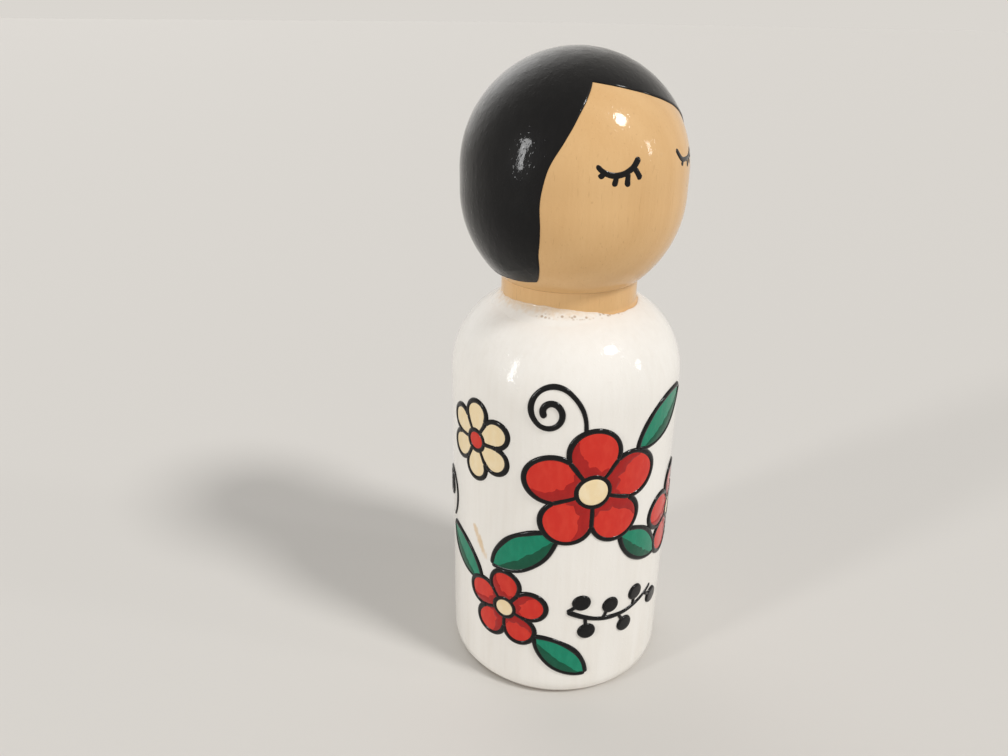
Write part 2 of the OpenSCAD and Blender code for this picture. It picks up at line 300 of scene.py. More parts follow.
class Shell:
    """Vertices and faces of one piece, gathered patch by patch."""

    def __init__(self):
        self.points = []
        self.faces = []
        self.size = 0

    def add(self, points):
        """Takes in an array of points, and gives their numbers in the array's shape."""
        shape = points.shape[:-1]
        numbers = self.size + np.arange(prod(shape)).reshape(shape)
        self.points.append(points.reshape(-1, 3))
        self.size += numbers.size
        return numbers

    def weave(self, numbers, ring=False):
        """Quads over a grid of numbers, whose columns close to a ring if asked."""
        if ring:
            numbers = np.concatenate([numbers, numbers[:, :1]], 1)
        corners = [numbers[:-1, :-1], numbers[:-1, 1:], numbers[1:, 1:], numbers[1:, :-1]]
        self.faces += np.stack(corners, -1).reshape(-1, 4).tolist()

    def fan(self, ring, hub):
        """Triangles from a ring of numbers to a hub."""
        self.faces += [(int(a), int(b), int(hub)) for a, b in zip(ring, np.roll(ring, -1))]

    def piece(self, name, finish, slot, *nodes):
        """Makes the finished piece, which rides on the doll and stands for CAD nodes."""
        mesh = bpy.data.meshes.new(name)
        mesh.from_pydata((np.concatenate(self.points) * MM).tolist(), [], self.faces)
        work = bmesh.new()
        work.from_mesh(mesh)
        bmesh.ops.recalc_face_normals(work, faces=work.faces)
        work.to_mesh(mesh)
        work.free()
        mesh.shade_smooth()
        mesh.set_sharp_from_angle(angle=radians(SHARP_ANGLE))
        mesh.materials.append(finish)
        piece = placed(name, mesh)
        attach(piece, "root")
        if nodes:
            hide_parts(*nodes)


def wobble(count, size, waves):
    """Smooth random offsets along a line of points, the same at both ends."""
    places = np.linspace(0, 2 * pi, count, endpoint=False)
    total = np.zeros(count)
    for wave in range(1, waves + 1):
        total += rng.uniform(-1, 1) * np.sin(wave * places + rng.uniform(0, 2 * pi))
    return size * total / sqrt(waves)


def along(path, lengths):
    """Points at lengths along a path."""
    return np.stack([np.interp(lengths, lengths_of(path), c) for c in path.T], 1)


# Paths: steps between knots of a curve, degrees between points of an arc and its fewest points, and a circle
KNOT_STEPS = 24
ARC_PATH_STEP = 4
ARC_PATH_LEAST = 8
CIRCLE = np.linspace(0, 2 * pi, 72, endpoint=False)
UNIT_RING = np.stack([np.cos(CIRCLE), np.sin(CIRCLE)], 1)


def curve(knots, step):
    """A path of even steps through knots, curved as a Catmull-Rom spline."""
    knots = np.array(knots, float)
    knots = np.concatenate([[2 * knots[0] - knots[1]], knots, [2 * knots[-1] - knots[-2]]])
    t = np.linspace(0, 1, KNOT_STEPS, endpoint=False)[:, None]
    spans = []
    for a, b, c, d in zip(knots, knots[1:], knots[2:], knots[3:]):
        spans.append(b + t / 2 * (c - a + t * (2 * a - 5 * b + 4 * c - d + t * (3 * (b - c) + d - a))))
    path = np.concatenate([*spans, knots[-2:-1]])
    total = lengths_of(path)[-1]
    return along(path, np.linspace(0, total, max(3, round(total / step))))


def arc_path(centre, radius, start, end):
    """A flat arc between two angles."""
    count = max(ARC_PATH_LEAST, round(abs(end - start) / ARC_PATH_STEP))
    angles = np.radians(np.linspace(start, end, count))
    return np.array(centre) + radius * np.stack([np.cos(angles), np.sin(angles)], 1)


def rotated(points, angle):
    """Flat points turned by an angle."""
    c, s = cos(radians(angle)), sin(radians(angle))
    return np.array(points) @ np.array([[c, s], [-s, c]])


def rounding(depth, reach):
    """How full a rounded edge is at a depth in from it, full from reach on."""
    return np.sqrt(1 - (1 - np.minimum(depth / reach, 1)) ** 2)


# Strokes: steps, the wander of a hand and the length of its swings, the section across, and the round ends
STROKE_STEP = 0.22
STROKE_SHAKE = 0.05
WIDTH_SHAKE = 0.1
SHAKE_WAVE = 4
END_SHARE = 0.05
ACROSS = np.cos(np.linspace(pi, 0, 7))
DOME = np.sqrt(1 - ACROSS**2)
CAP = 1 - np.cos(np.linspace(0, pi / 2, 5))


def stroke(shell, spot, path, width=LINE_W, rise=LINE_RISE, lift=COAT, taper=(1, 1), closed=False):
    """A raised line of paint along a flat path, domed across and with round ends."""
    total = lengths_of(path)[-1]
    cap = min(width / 2 * max(taper), total / 2)
    count = max(2, round((total - 2 * cap) / STROKE_STEP))
    if closed:
        lengths = np.linspace(0, total, count, endpoint=False)
    else:
        middle = np.linspace(cap, total - cap, count)
        lengths = np.concatenate([CAP[:-1] * cap, middle, total - CAP[-2::-1] * cap])
    path = along(path, lengths)
    way = np.gradient(path, lengths, axis=0)
    if closed:
        way = np.roll(path, -1, 0) - np.roll(path, 1, 0)
    way /= norm(way, axis=1, keepdims=True)
    side = np.stack([-way[:, 1], way[:, 0]], 1)
    waves = max(2, round(total / SHAKE_WAVE))
    full = width / 2 * np.interp(lengths, [0, total], taper)
    full *= 1 + wobble(len(path), WIDTH_SHAKE, waves)
    half = full
    if not closed:
        half = full * np.maximum(rounding(np.minimum(lengths, total - lengths), cap), END_SHARE)
    path = path + side * wobble(len(path), STROKE_SHAKE, waves)[:, None]
    offsets = half[:, None] * np.concatenate([ACROSS, ACROSS[[-1, 0]]])
    lifts = lift + rise * (half / full.max())[:, None] * DOME
    lifts = np.concatenate([lifts, np.full((len(path), 2), lift - SINK)], 1)
    points, normals = spot(path[:, None] + side[:, None] * offsets[..., None])
    numbers = shell.add(points + normals * lifts[..., None])
    if closed:
        shell.weave(np.concatenate([numbers, numbers[:1]]), ring=True)
    else:
        shell.weave(numbers, ring=True)
        shell.faces += [numbers[0].tolist(), numbers[-1].tolist()]


def film(shell, spot, reach, rise, lift, rows, under_rows):
    """A closed coat of paint over a patch that its middle sees whole, rounded off at its edge.

    spot gives points and normals at shares of the way from the middle to the edge, which is reach away.
    """
    edge = np.minimum(EDGE_ROUND, EDGE_SHARE * reach)
    shares = [1 - depth / EDGE_ROUND * edge / reach for depth in EDGE_DEPTHS]
    shares += [shares[-1] * part for part in np.linspace(1, 0, rows + 1)[1:-1]]
    layers = [(s, lift + rise * rounding((1 - s) * reach, edge)) for s in shares]
    below = [np.full_like(reach, part) for part in np.linspace(1, 0, under_rows + 1)[:-1]]
    layers = [(s, np.full_like(reach, lift - SINK)) for s in below[::-1]] + layers
    grid = []
    for share, lifts in layers:
        points, normals = spot(share)
        grid.append(points + normals * lifts[:, None])
    numbers = shell.add(np.stack(grid))
    shell.weave(numbers, ring=True)
    points, normals = spot(np.zeros_like(reach))
    hubs = shell.add(points[0] + normals[0] * np.array([[lift - SINK], [lift + rise]]))
    shell.fan(numbers[0], hubs[0])
    shell.fan(numbers[-1], hubs[1])


def fill(shell, spot, centre, edge, rise=COAT, lift=COAT, rows=4):
    """A coat of paint inside a flat edge."""
    centre = np.array(centre)
    reach = norm(edge - centre, axis=1)
    film(shell, lambda share: spot(centre + share[:, None] * (edge - centre)), reach, rise, lift, rows, 1)


RIBBON_SHARES = np.array([0, 0.12, 0.5, 0.88, 1])
RIBBON_SWELL = np.array([0, 0.8, 1, 0.8, 0])


def ribbon(shell, spot, outer, inner, rise, lift):
    """A thin coat of paint between two flat edges of as many points."""
    across = np.concatenate([RIBBON_SHARES, RIBBON_SHARES[[-1, 0]]])[:, None]
    lifts = np.concatenate([lift + rise * RIBBON_SWELL, [lift - SINK] * 2])
    points, normals = spot(outer[:, None] + across * (inner - outer)[:, None])
    numbers = shell.add(points + normals * lifts[:, None])
    shell.weave(numbers, ring=True)
    shell.faces += [numbers[0].tolist(), numbers[-1].tolist()]


WOOD_STEPS = 160


def revolve(shell, outline):
    """A closed solid of revolution, from an outline that starts and ends on the axis."""
    _, ahead = compass(np.linspace(0, 360, WOOD_STEPS, endpoint=False))
    rings = np.array(outline[1:-1])
    numbers = shell.add(rings[:, None, :1] * ahead + rings[:, None, 1:] * UP)
    shell.weave(numbers, ring=True)
    ends = shell.add(np.array([outline[0][1], outline[-1][1]])[:, None] * UP)
    shell.fan(numbers[0], ends[0])
    shell.fan(numbers[-1], ends[1])


# Room that the ornament takes up, so that what lies under it can stop there

RUN_STEPS = 120
TRIM_SHARES = np.linspace(0.02, 1, 90)


def petal_sizes(flower):
    """Radius of a petal, and how far its middle lies from the flower's."""
    spread = PETAL_FULLNESS * sin(pi / flower.petals)
    radius = flower.width / 2 * spread / (1 + spread)
    return radius, flower.width / 2 - radius


def core_radius(flower):
    """Radius of the middle of a flower, to the middle of its line."""
    return flower.width / 2 * CORE_SHARE


def seen_from(place, points):
    """Flat places of points as seen from a place on the dress, and which lie on that side."""
    across, ahead = compass(place.turn)
    return np.stack([points @ across, points @ UP - place.level * SHOULDER_Z], -1), points @ ahead > 0


def under_flowers(points):
    """Which points a flower covers."""
    covered = np.zeros(points.shape[:-1], bool)
    for flower in FLOWERS:
        flat, near = seen_from(flower, points)
        radius, stand = petal_sizes(flower)
        covered |= near & (norm(flat, axis=-1) < stand)
        for n in range(flower.petals):
            middle = rotated((0, stand), n * 360 / flower.petals)
            covered |= near & (norm(flat - middle, axis=-1) < radius - LINE_W / 2)
    return covered


def leaf_arc(leaf):
    """Radius of each side of a leaf, and how far that side's middle lies from the leaf's axis."""
    length, width = LEAF_LEN * leaf.size, LEAF_W * leaf.size
    radius = (length**2 + width**2) / (4 * width)
    return radius, radius - width / 2


def under_ornament(points):
    """Which points a flower or a leaf covers."""
    covered = under_flowers(points)
    for leaf in LEAVES:
        flat, near = seen_from(leaf, points)
        flat = rotated(flat, -leaf.lean)
        radius, off = leaf_arc(leaf)
        inside = [norm(flat - (0, side), axis=-1) < radius - LINE_W / 2 for side in (off, -off)]
        covered |= near & inside[0] & inside[1]
    return covered


def free_runs(spot, path, covered):
    """The uncovered stretches of a path that are longer than a line is wide."""
    path = along(path, np.linspace(0, lengths_of(path)[-1], RUN_STEPS))
    free = ~covered(spot(path)[0])
    breaks = np.flatnonzero(np.diff(free)) + 1
    runs = [run for run, part in zip(np.split(path, breaks), np.split(free, breaks)) if part[0]]
    return [run for run in runs if lengths_of(run)[-1] > LINE_W]


def trimmed(spot, centre, edge, covered):
    """An edge drawn in to where the way to it from the centre starts to be covered."""
    ways = centre + TRIM_SHARES[:, None, None] * (edge - centre)
    hidden = covered(spot(ways)[0])
    first = np.where(hidden.any(0), TRIM_SHARES[hidden.argmax(0)], 1)
    return centre + first[:, None] * (edge - centre)


# Finishes

# Noise: waves to the millimetre along each axis, and how much finer detail they carry
Noise = namedtuple("Noise", "waves detail")
VARNISH_WAVES = Noise((0.35, 0.35, 0.25), 2)
DUST = Noise((2.2, 2.2, 2.2), 1)
FIBRE = Noise((2.4, 2.4, 0.09), 3)
PORES = Noise((5.5, 5.5, 0.5), 1)
WOOD_CLOUD = Noise((0.09, 0.09, 0.06), 2)
STREAKS = Noise((1.1, 1.1, 0.5), 3)
PAINT_CLOUD = Noise((0.25, 0.25, 0.25), 2)
LONG_STREAKS = Noise((1.3, 1.3, 0.1), 3)
DRESS_CLOUD = Noise((0.12, 0.12, 0.08), 2)
WORN_EDGE = Noise((1.5, 1.5, 0.8), 3)
WORN_PATCHES = Noise((0.6, 0.6, 0.6), 2)
COLLAR_EDGE = Noise((1.6, 1.6, 1.6), 3)

# Flecks: about how far apart they lie, their radius, and the share of them that shows
Flecks = namedtuple("Flecks", "apart radius share")
WOOD_FLECKS = Flecks(5, 0.28, 0.4)
# Specks in the neck's corner, partly crumbs of paint and partly painted shade
CRUMBS_AND_SHADE = Flecks(0.6, 0.27, 0.75)
DIRT = Flecks(7, 0.22, 0.3)
FLECK_CORE = 0.4

# Clear varnish over all: how it mirrors, and the heights of waves and of dust in it
VARNISH = {"Specular IOR Level": 0.05, "Coat Weight": 0.9, "Coat IOR": 1.3, "Coat Roughness": 0.06}
VARNISH_WAVE_H = 0.02
DUST_RANGE = (0.58, 0.74)
DUST_H = 0.009

# Wood: growth rings round a pith outside the doll, and how much each pattern shows. A blend is two weights.
PITH = (31, 24, 0)
RING_GAP = 2.4
RING_DRAW = (1, 1, 0.05)
RINGS = {"Scale": pi / 10 / RING_GAP, "Distortion": 3.5, "Detail": 2, "Detail Scale": 0.7}
GRAIN_BLEND = (0.2, 0.45)
WOOD_BLEND = (0.5, 0.6)
FIBRE_H = 0.01
PORE_RANGE = (0.66, 0.76)
PORE_TINT = 0.22
WOOD_FLECK_TINT = 0.55
WOOD_ROUGHNESS = 0.45

# Brushed paint: how much its streaks and clouds show
PAINT_ROUGHNESS = 0.4
STREAK_RANGE = (0.35, 0.75)
PAINT_BLEND = (0.6, 0.3)
STREAK_H = 0.012

# White paint of the dress: how much its streaks and clouds show, and the wood's rings low down
DRESS_BLEND = (0.45, 0.4)
LOW_RANGE_Z = (26, 4)
LOW_RING_WEIGHT = 0.13
LOW_RING_H = 0.003
FAINT_RANGE = (0.25, 1.1)
DIRT_TINT = 0.6

# Worn sliver in it: turn and height of its ends, half its width, its swell, its ragged edge and its patches
WORN_TOP = (-92.2, 26)
WORN_FOOT = (-84.2, 21.7)
WORN_R = 0.34
WORN_SWELL = 0.16
WORN_EDGE_SIZE = 1.2
WORN_FADE = (WORN_R + 0.85, WORN_R + 0.35)
WORN_PATCH_SIZE = 1.2
WORN_PATCH_START = -0.02

# Thin collar, and the row of crumbs in the corner of the neck: darker tan specks, partly crumbs of paint and
# partly painted shade in that crease
COLLAR_EDGE_SIZE = 1.6
COLLAR_FADE_Z = (NECK_Z + 0.5, NECK_Z + 1.9)
COLLAR_TINT = 0.55
CRUMB_SHADE_TURN = -32
CRUMB_SHADE_LOW_Z = (NECK_Z - 0.3, NECK_Z)
CRUMB_SHADE_HIGH_Z = (NECK_Z + 0.45, NECK_Z + 0.2)
CRUMB_SHADE_REACH = (0.87 * NECK_R, 0.93 * NECK_R)
CRUMB_AND_SHADE_TINT = 0.7

# Sockets of a node that mixes colours: share, first and second colour, and what comes out
MIX_INPUTS = (0, 6, 7)
MIX_OUTPUT = 2


def colour(red, green, blue):
    """Linear colour of an sRGB one that is written in 0 to 255."""
    shares = np.array([red, green, blue]) / 255
    linear = np.where(shares < 0.04045, shares / 12.92, ((shares + 0.055) / 1.055) ** 2.4)
    return (*linear.tolist(), 1)


class Finish:
    """A material under clear varnish, with patterns laid out in millimetres."""

    def __init__(self, name, roughness):
        self.material = bpy.data.materials.new(name)
        self.material.use_nodes = True
        self.tree = self.material.node_tree
        self.shader = self.tree.nodes["Principled BSDF"]
        self.feed(self.shader, {"Roughness": roughness, **VARNISH})
        metres = self.node("ShaderNodeTexCoord").outputs["Object"]
        self.place = self.vector("MULTIPLY", metres, (1 / MM,) * 3)

    def node(self, kind, *values, **settings):
        """A new node, with values for its first inputs."""
        node = self.tree.nodes.new(kind)
        for key, value in settings.items():
            setattr(node, key, value)
        for socket, value in zip(node.inputs, values):
            self.put(socket, value)
        return node

    def feed(self, node, values):
        """Puts values on sockets of a node by their names."""
        for name, value in values.items():
            self.put(node.inputs[name], value)

    def put(self, socket, value):
        if isinstance(value, bpy.types.NodeSocket):
            self.tree.links.new(value, socket)
        else:
            socket.default_value = value

    def vector(self, operation, *values):
        node = self.node("ShaderNodeVectorMath", *values, operation=operation)
        return node.outputs["Value" if operation in ("LENGTH", "DOT_PRODUCT") else "Vector"]

    def math(self, operation, *values):
        return self.node("ShaderNodeMath", *values, operation=operation).outputs[0]

    def span(self, value, low, high):
        """0 where a value is at low or before, 1 at high or past it."""
        node = self.node("ShaderNodeMapRange", value, low, high, interpolation_type="SMOOTHSTEP")
        return node.outputs[0]

    def weighed(self, weights, first, second):
        """The sum of two values, each times its weight."""
        return self.math("MULTIPLY_ADD", first, weights[0], self.math("MULTIPLY", second, weights[1]))

    def noise(self, pattern):
        """Value of a noise pattern, from 0 to 1."""
        node = self.node("ShaderNodeTexNoise")
        place = self.vector("MULTIPLY", self.place, pattern.waves)
        self.feed(node, {"Vector": place, "Scale": 1, "Detail": pattern.detail})
        return node.outputs[0]

    def flecks(self, kind):
        """1 on flecks, 0 elsewhere."""
        node = self.node("ShaderNodeTexVoronoi")
        self.feed(node, {"Vector": self.place, "Scale": 1 / kind.apart})
        rim = kind.radius / kind.apart
        fleck = self.span(node.outputs["Distance"], rim, FLECK_CORE * rim)
        chance = self.vector("DOT_PRODUCT", node.outputs["Color"], (1, 0, 0))
        return self.math("MULTIPLY", fleck, self.math("LESS_THAN", chance, kind.share))

    def rings(self):
        """Growth rings, drawn out along the grain."""
        node = self.node("ShaderNodeTexWave", wave_type="RINGS", rings_direction="Z")
        away = self.vector("SUBTRACT", self.place, PITH)
        self.feed(node, {"Vector": self.vector("MULTIPLY", away, RING_DRAW), **RINGS})
        return node.outputs[1]

    def mix(self, share, first, second):
        """One colour with a share of another in it."""
        node = self.node("ShaderNodeMix", data_type="RGBA")
        for number, value in zip(MIX_INPUTS, (share, first, second)):
            self.put(node.inputs[number], value)
        return node.outputs[MIX_OUTPUT]

    def tinted(self, tone, where, share, tint):
        """A tone that takes on a share of a tint where a pattern is 1."""
        return self.mix(self.math("MULTIPLY", where, share), tone, tint)

    def relief(self, *layers):
        """Relief under the varnish and on it, from pairs of a pattern and its height."""
        normal = None
        for pattern, height in layers:
            node = self.node("ShaderNodeBump")
            self.feed(node, {"Strength": 1, "Distance": height * MM, "Height": pattern})
            if normal is not None:
                self.put(node.inputs["Normal"], normal)
            normal = node.outputs[0]
        self.feed(self.shader, {"Normal": normal, "Coat Normal": normal})

    def varnish(self):
        """Layers of relief that all varnish has: brushed-out waves, and dust caught as it dried."""
        dust = self.span(self.noise(DUST), *DUST_RANGE)
        return [(self.noise(VARNISH_WAVES), VARNISH_WAVE_H), (dust, DUST_H)]

    def done(self, base):
        self.put(self.shader.inputs["Base Color"], base)
        return self.material


def varnished_wood(name, pale, dark, fleck):
    """Close-grained pale wood under varnish."""
    look = Finish(name, WOOD_ROUGHNESS)
    fibre = look.noise(FIBRE)
    grain = look.weighed(GRAIN_BLEND, look.rings(), fibre)
    share = look.weighed(WOOD_BLEND, look.noise(WOOD_CLOUD), grain)
    tone = look.mix(share, pale, dark)
    pores = look.span(look.noise(PORES), *PORE_RANGE)
    tone = look.tinted(tone, pores, PORE_TINT, fleck)
    tone = look.tinted(tone, look.flecks(WOOD_FLECKS), WOOD_FLECK_TINT, fleck)
    look.relief((fibre, FIBRE_H), *look.varnish())
    return look.done(tone)


def brushed_paint(name, full, thin):
    """A coat of colour with brush streaks in it, under varnish."""
    look = Finish(name, PAINT_ROUGHNESS)
    streaks = look.span(look.noise(STREAKS), *STREAK_RANGE)
    share = look.weighed(PAINT_BLEND, streaks, look.noise(PAINT_CLOUD))
    look.relief((streaks, STREAK_H), *look.varnish())
    return look.done(look.mix(share, full, thin))


def on_body(turn, z):
    """A point on the body's wood."""
    return compass(turn)[1] * body.ring(z)[0] + z * UP


def worn_sliver(look):
    """1 on a worn sliver of the dress with a ragged edge, 0 elsewhere."""
    top, foot = on_body(*WORN_TOP), on_body(*WORN_FOOT)
    away = look.vector("SUBTRACT", look.place, tuple(top))
    way = (foot - top) / np.dot(foot - top, foot - top)
    share = look.math("MAXIMUM", look.vector("DOT_PRODUCT", away, tuple(way)), 0)
    share = look.math("MINIMUM", share, 1)
    beside = look.node("ShaderNodeVectorMath", tuple(foot - top), operation="SCALE")
    look.put(beside.inputs["Scale"], share)
    gap = look.vector("LENGTH", look.vector("SUBTRACT", away, beside.outputs[0]))
    swell = look.math("MULTIPLY", share, look.math("SUBTRACT", 1, share))
    ragged = look.math("MULTIPLY_ADD", look.noise(WORN_EDGE), WORN_EDGE_SIZE, gap)
    ragged = look.math("MULTIPLY_ADD", swell, -4 * WORN_SWELL, ragged)
    return look.span(ragged, *WORN_FADE)


def crumb_and_shade_row(look, height):
    """1 on crumbs of paint in the corner of the neck, whose darker tan there is partly painted shade in that
    crease, 0 elsewhere.
    """
    reach = look.vector("DOT_PRODUCT", look.place, tuple(compass(CRUMB_SHADE_TURN)[1]))
    row = look.math("MULTIPLY", look.span(height, *CRUMB_SHADE_LOW_Z), look.span(height, *CRUMB_SHADE_HIGH_Z))
    row = look.math("MULTIPLY", row, look.span(reach, *CRUMB_SHADE_REACH))
    return look.math("MULTIPLY", row, look.flecks(CRUMBS_AND_SHADE))


def white_dress_paint():
    """Thin white paint over wood: the grain shows faintly, and the wood where it is worn or runs out. Crumbs
    and painted shade darken the neck's corner.
    """
    look = Finish("white_paint", PAINT_ROUGHNESS)
    bare = colour(219, 184, 134)
    streaks = look.noise(LONG_STREAKS)
    rings = look.rings()
    height = look.vector("DOT_PRODUCT", look.place, (0, 0, 1))
    low = look.span(height, *LOW_RANGE_Z)
    faint = look.weighed(DRESS_BLEND, streaks, look.noise(DRESS_CLOUD))
    faint = look.math("MULTIPLY_ADD", look.math("MULTIPLY", rings, low), LOW_RING_WEIGHT, faint)
    tone = look.mix(look.span(faint, *FAINT_RANGE), colour(240, 236, 229), colour(226, 219, 208))
    patchy = look.math("MULTIPLY_ADD", look.noise(WORN_PATCHES), WORN_PATCH_SIZE, WORN_PATCH_START)
    tone = look.tinted(tone, worn_sliver(look), patchy, bare)
    thin = look.math("MULTIPLY_ADD", look.noise(COLLAR_EDGE), COLLAR_EDGE_SIZE, height)
    tone = look.tinted(tone, look.span(thin, *COLLAR_FADE_Z), COLLAR_TINT, bare)
    # Darker tan specks in the neck's corner: crumbs of paint, and partly painted shade in that crease
    tone = look.tinted(tone, crumb_and_shade_row(look, height), CRUMB_AND_SHADE_TINT, colour(168, 138, 104))
    tone = look.tinted(tone, look.flecks(DIRT), DIRT_TINT, colour(120, 108, 96))
    look.relief((rings, LOW_RING_H), (streaks, STREAK_H), *look.varnish())
    return look.done(tone)


WOOD = varnished_wood("varnished_wood", colour(229, 190, 138), colour(206, 160, 104), colour(158, 112, 66))
DOWEL = varnished_wood("dowel_wood", colour(224, 194, 150), colour(201, 164, 114), colour(160, 122, 80))
WHITE = white_dress_paint()
BLACK = brushed_paint("black_paint", colour(6, 6, 7), colour(14, 13, 14))
RED = brushed_paint("red_paint", colour(205, 44, 33), colour(214, 62, 46))
DARK_RED = brushed_paint("dark_red_paint", colour(158, 26, 24), colour(176, 34, 30))
CREAM = brushed_paint("cream_paint", colour(238, 214, 168), colour(243, 226, 192))
GREEN = brushed_paint("green_paint", colour(12, 124, 94), colour(26, 138, 106))
DARK_GREEN = brushed_paint("dark_green_paint", colour(10, 76, 54), colour(14, 88, 64))


# Wood

FLOOR_RINGS = 6
SEAT_RINGS = 4
SAME_PLACE = 1e-6


def thinned(turning):
    """The points of a turned outline, without those that fall together where stretches meet."""
    apart = np.concatenate([[True], np.diff(turning.lengths) > SAME_PLACE])
    return [tuple(point) for point in turning.points[apart]]


def body_wood():
    """The turned body with its shoulder and neck, drilled for the pin."""
    floor = [(r, 0) for r in np.linspace(0, BODY_R - BASE_ROUND, FLOOR_RINGS)[:-1]]
    top = [(r, SEAT_Z) for r in np.linspace(NECK_R, PIN_HOLE_R, SEAT_RINGS)[1:]]
    hole_z = SEAT_Z - PIN_HOLE_DEPTH
    hole = [(PIN_HOLE_R, hole_z), (0, hole_z)]
    shell = Shell()
    revolve(shell, [*floor, *thinned(body), *top, *hole])
    shell.piece("body_wood", WOOD, "varnished_wood", "body_peg")


def head_wood():
    """The turned head, flat where it sits on the neck, drilled for the pin."""
    hole_z = SEAT_Z + PIN_HOLE_DEPTH
    hole = [(0, hole_z), (PIN_HOLE_R, hole_z)]
    seat = [(r, SEAT_Z) for r in np.linspace(PIN_HOLE_R, NECK_R, SEAT_RINGS)[:-1]]
    shell = Shell()
    revolve(shell, [*hole, *seat, *thinned(head)[:-1], (0, CROWN_Z)])
    shell.piece("head_wood", WOOD, "varnished_wood", "head")


# Dress and hair

DRESS_STEPS = 240
DRESS_ROWS = 60
DRESS_UNDER_ROWS = 14
COLLAR_WAVES = 34
HEM_WAVES = 20
HAIR_ROWS = 22
HAIR_UNDER_ROWS = 8
HAIR_WAVES = 40
NAPE_WAVES = 12

# Bubbles: how many, where they lie about the row of crumbs and painted shade and the foot of the neck, and
# their sizes
BUBBLES = 56
BUBBLE_TURNS = (-30, 17)
BUBBLE_CLIMB = (0.05, 0.12)
BUBBLE_RADII = (0.07, 0.15)
BUBBLE_LENGTHS = (1, 1.9)
BUBBLE_HEIGHT = 0.8
BUBBLE_RISE = 0.8
BUBBLE_LIFT = 0.8 * COAT


def dress_paint():
    """The white coat, from the hem to a ragged collar that climbs onto the neck."""
    turns = np.linspace(-180, 180, DRESS_STEPS, endpoint=False)
    climbs = np.interp(turns, COLLAR_TURNS, COLLAR_CLIMBS)
    climbs += wobble(DRESS_STEPS, COLLAR_SHAKE, COLLAR_WAVES)
    top = body.length_at(NECK_Z) + climbs
    hem = body.length_at(HEM_Z) + wobble(DRESS_STEPS, HEM_SHAKE, HEM_WAVES)
    rim = EDGE_DEPTHS[-1]
    rows = [hem + depth for depth in EDGE_DEPTHS]
    rows += [hem + rim + share * (top - hem - 2 * rim) for share in np.linspace(0, 1, DRESS_ROWS)[1:-1]]
    rows += [top - depth for depth in EDGE_DEPTHS[::-1]]
    lifts = [COAT * rounding(np.minimum(row - hem, top - row), EDGE_ROUND) for row in rows]
    under = [top + share * (hem - top) for share in np.linspace(0, 1, DRESS_UNDER_ROWS)]
    lifts = np.stack(lifts + [np.full(DRESS_STEPS, -SINK)] * DRESS_UNDER_ROWS)[..., None]
    radius, z, out, up = [values[..., None] for values in body.at(np.stack(rows + under))]
    _, ahead = compass(turns)
    shell = Shell()
    numbers = shell.add(ahead * (radius + out * lifts) + UP * (z + up * lifts))
    shell.weave(np.concatenate([numbers, numbers[:1]]), ring=True)
    shell.piece("dress_paint", WHITE, "white_paint", "dress_coat")


def collar_bubbles():
    """Small bubbles and crumbs that dried in the paint just under the collar's edge."""
    shell = Shell()
    for _ in range(BUBBLES):
        turn = CRUMB_SHADE_TURN + rng.uniform(*BUBBLE_TURNS)
        z = NECK_Z + rng.gauss(*BUBBLE_CLIMB)
        radius = rng.uniform(*BUBBLE_RADII)
        edge = radius * UNIT_RING[::6]
        edge *= np.array([rng.uniform(*BUBBLE_LENGTHS), BUBBLE_HEIGHT])
        spot = carried(body, turn, z)
        fill(shell, spot, (0, 0), edge, rise=BUBBLE_RISE * radius, lift=BUBBLE_LIFT, rows=2)
    shell.piece("collar_bubbles", WHITE, "white_paint")


def head_hit(ways):
    """Points and normals where ways out from the middle of the head meet its surface."""
    half = (HEAD_HIGH_Z - HEAD_LOW_Z) / 2
    level = norm(ways[..., :2], axis=-1)
    side = HEAD_R / np.maximum(level, SAME_PLACE)
    rise = np.abs(ways[..., 2])
    cap = rise * half + np.sqrt((rise * half) ** 2 + HEAD_R**2 - half**2)
    points = np.where(side * rise < half, side, cap)[..., None] * ways
    middle = np.clip(points[..., 2:], -half, half) * UP
    return points + HEAD_Z * UP, (points - middle) / HEAD_R


def hairline(knots):
    """Points of the hair's edge on the head, from knots seen from the front."""
    return carried(head, 0, 0)(curve(knots, HAIR_STEP))[0]


def hair_paint():
    """The black bob, from a pole at the back of the head to the hairline."""
    right = hairline(HAIRLINE_RIGHT)
    left = hairline(HAIRLINE_LEFT)
    turns = [degrees(atan2(point[0], -point[1])) for point in (right[-1], left[-1])]
    count = round(radians(360 - turns[1] + turns[0]) * NECK_R / HAIR_STEP)
    back = np.linspace(turns[0], turns[1] - 360, count)[1:-1]
    ends = np.minimum(np.arange(1, count - 1), np.arange(count - 2, 0, -1)) * HAIR_STEP
    nape = NAPE_Z + wobble(count - 2, NAPE_SHAKE, NAPE_WAVES) * (1 - np.exp(-ends))
    nape += (right[-1][2] - NAPE_Z) * np.exp(-ends / NAPE_EASE)
    back = compass(back)[1] * head.ring(nape)[0][:, None] + nape[:, None] * UP
    loop = np.concatenate([right, back, left[:0:-1]])
    ways = loop - HEAD_Z * UP
    ways /= norm(ways, axis=1, keepdims=True)
    angles = np.arccos(np.clip(ways[:, 1], -1, 1))
    angles += wobble(len(loop), HAIR_SHAKE / HEAD_R, HAIR_WAVES)
    outward = ways * (1, 0, 1)
    outward /= norm(outward, axis=1, keepdims=True)
    pole = np.array([0.0, 1.0, 0.0])

    def spot(share):
        angle = (share * angles)[:, None]
        return head_hit(np.cos(angle) * pole + np.sin(angle) * outward)

    shell = Shell()
    film(shell, spot, angles * HEAD_R, COAT, 0.0, HAIR_ROWS, HAIR_UNDER_ROWS)
    shell.piece("hair_paint", BLACK, "black_paint", "hair_coat")


